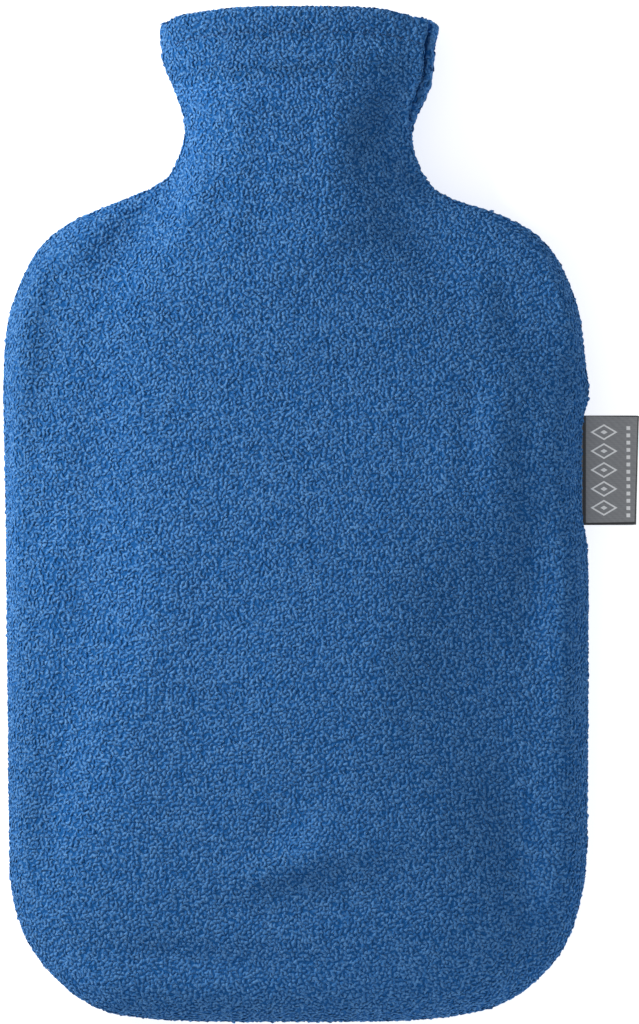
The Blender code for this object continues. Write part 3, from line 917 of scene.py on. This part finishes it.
def addStitch(skin, x, down):
    # one stitch lying on the cloth along the hem, or none where there is no cloth
    aside = 0.0005
    slope = (rimY(x + aside) - rimY(x - aside)) / (2 * aside)
    start = Vector((x, rimY(x) - mouth["hemLine"], sewing["above"] * down))
    hit, normal, _, _ = skin.ray_cast(start, Vector((0, 0, -down)))
    if hit is None:
        return None
    along = Vector((1, slope, 0))
    along = (along - normal * along.dot(normal)).normalized()
    bpy.ops.mesh.primitive_uv_sphere_add(segments=8, ring_count=6, radius=1)
    stitch = bpy.context.object
    turned = Matrix((along, normal.cross(along), normal)).transposed().to_4x4()
    turned.translation = hit + normal * sewing["proud"]
    thick = sewing["thread"] / 2
    stitch.data.transform(Matrix.Diagonal((sewing["length"] / 2, thick, thick, 1)))
    stitch.data.transform(turned)
    return stitch


def addStitches(pieces):
    # the hem's sewing, one row round the mouth, sunk in the pile
    stitches = []
    for piece, down in pieces:
        skin = skinOf([piece.data])
        for n in range(sewing["count"]):
            x = mouth["centre"] + (n / (sewing["count"] - 1) - 0.5) * 2 * sewing["reach"]
            stitches.append(addStitch(skin, x, down))
    stitches = [stitch for stitch in stitches if stitch]
    selectOnly(stitches[0])
    for stitch in stitches:
        stitch.select_set(True)
    bpy.ops.object.join()
    row = bpy.context.object
    row.name = row.data.name = "hemStitches"
    bpy.ops.object.shade_smooth()
    return row


def threadMaterial():
    made, tree, shader = newMaterial("sewingThread", sewing["finish"])
    ply = addWave(tree, objectPlace(tree), sewing["ply"], "DIAGONAL", Distortion=1.0)
    shade = addNode(tree, "ShaderNodeHueSaturation", {
        "Color": sewing["colour"],
        "Value": addMath(tree, "MULTIPLY_ADD", ply, sewing["plyShade"], sewing["plainShade"]),
    })
    bump = addNode(tree, "ShaderNodeBump", {
        "Height": ply,
        "Strength": sewing["bump"],
        "Distance": sewing["bumpHeight"],
    })
    tree.links.new(shade.outputs["Color"], shader.inputs["Base Color"])
    tree.links.new(bump.outputs["Normal"], shader.inputs["Normal"])
    return made


addCamera()
addLights()
floor = addFloor()
print("camera, light and floor are set")

napGroup = makeNapGroup()
patchGroup = makePatchGroup()
groundCloth = fleeceMaterial("fleeceGround", groundLook, napGroup, patchGroup)
pileCloth = fleeceMaterial("fleecePile", pileLook, napGroup, patchGroup)
solids = skinOf([node.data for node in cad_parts.values()])
tuft = makeTuft()
print("materials are made")

# each pile takes its share of the tufts, at this spacing and size; the back has fewer and larger ones
panels = {
    "front": {
        "node": "front_panel",
        "flat": (0.226, 0.382),
        "area": 0.0712,
        "seed": 3,
        "piles": {
            "frontPile": {"share": 0, "shares": 3, "spacing": 0.00120, "scale": 1.0},
            "frontPileSecond": {"share": 1, "shares": 3, "spacing": 0.00120, "scale": 1.0},
            "frontPileThird": {"share": 2, "shares": 3, "spacing": 0.00120, "scale": 1.0},
        },
    },
    "back": {
        "node": "back_panel",
        "flat": (0.220, 0.378),
        "area": 0.0700,
        "seed": 23,
        "piles": {
            "backPile": {"share": 0, "shares": 1, "spacing": 0.00240, "scale": 1.6},
            "seamPile": {"share": 0, "shares": 1, "spacing": 0.00115, "scale": 1.0},
        },
    },
}
clothPieces = {}
for side, panel in panels.items():
    piece = clothFrom(panel["node"], side + "Cloth")
    shapeCloth(piece, markShowing(piece, solids))
    piece.data.materials.append(groundCloth)
    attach(piece, "root")
    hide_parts(panel["node"])
    reportPiece(piece)
    for name, plan in panel["piles"].items():
        if name == "seamPile":
            keepStrip(piece)
        pile = addPile(name, piece, tuft, panel["seed"], plan)
        pile.data.materials.append(pileCloth)
        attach(pile, "root")
        reportPiece(pile)
    piece.data.attributes.remove(piece.data.attributes["showing"])
    clothPieces[side] = piece

bpy.data.objects.remove(tuft)

label = makeLabel()
label.data.materials.append(labelMaterial())
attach(label, "root")
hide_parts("label")
reportPiece(label)

stitches = addStitches(((clothPieces["front"], 1), (clothPieces["back"], -1)))
stitches.data.materials.append(threadMaterial())
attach(stitches, "root")
reportPiece(stitches)
